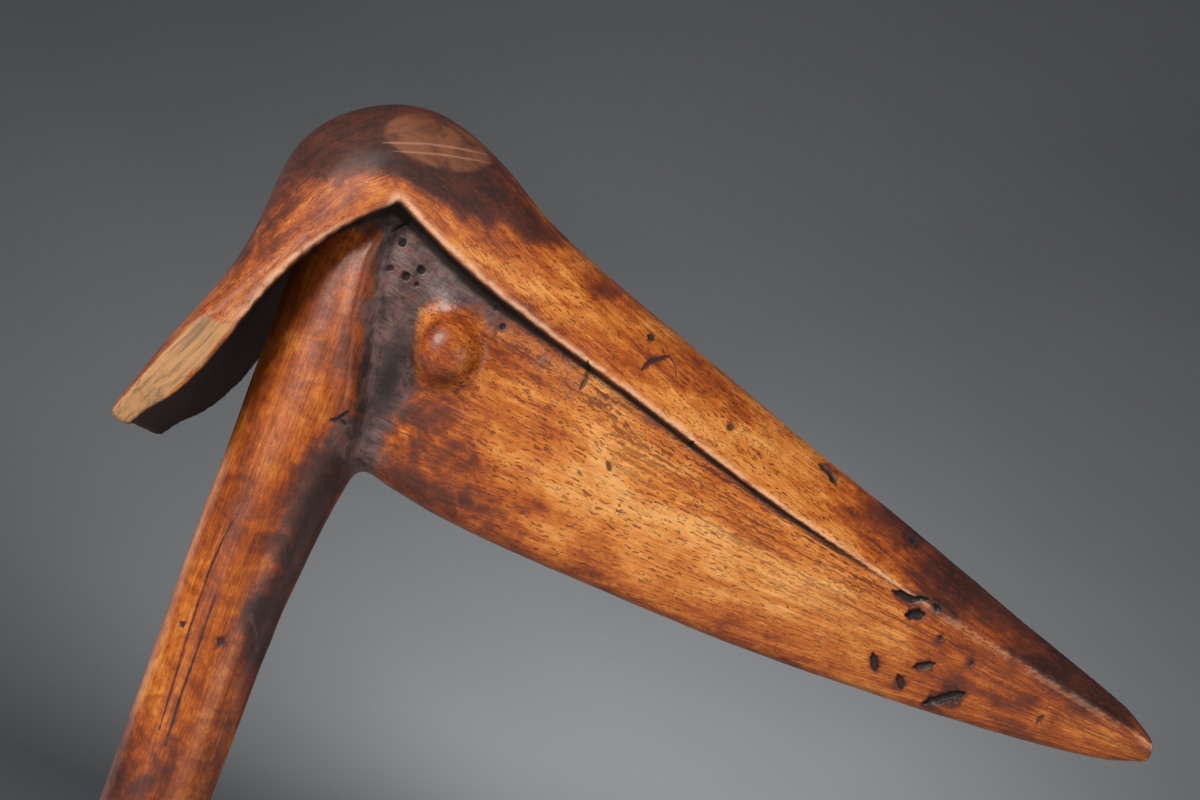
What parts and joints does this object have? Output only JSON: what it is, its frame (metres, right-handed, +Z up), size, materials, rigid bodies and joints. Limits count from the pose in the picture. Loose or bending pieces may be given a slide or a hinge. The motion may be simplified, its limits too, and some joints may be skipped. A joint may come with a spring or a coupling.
{
  "type": "bird-head club",
  "caption": "Wooden club carved from one block as a hooded bird's head with a long beak, domed eyes and a flared crest, on a round shaft with a swollen butt.",
  "frame": {"origin": "centre of the flat end of the butt, on the shaft's axis", "axes": "+Z up the shaft to the head, +X the way the beak points, +Y towards the bird's left eye; XZ is the plane of symmetry"},
  "size_m": [0.3342, 0.0722, 0.7409],
  "materials": {
    "head_wood": "orange-brown hardwood, carved, varnished and worn to a gloss",
    "stained_wood": "the same wood darkened by handling and stain, glossy",
    "shaft_wood": "red-brown hardwood, scraped round, varnished, with fine drying cracks"
  },
  "bodies": {
    "root": {"butt": "shaft_wood", "grip": "shaft_wood", "shaft_lower": "shaft_wood", "shaft_upper": "shaft_wood", "neck": "shaft_wood", "beak": "head_wood", "beak_ridge": "head_wood", "crest": "head_wood", "left_eye": "head_wood", "right_eye": "head_wood", "crown": "stained_wood"}
  },
  "joints": []
}
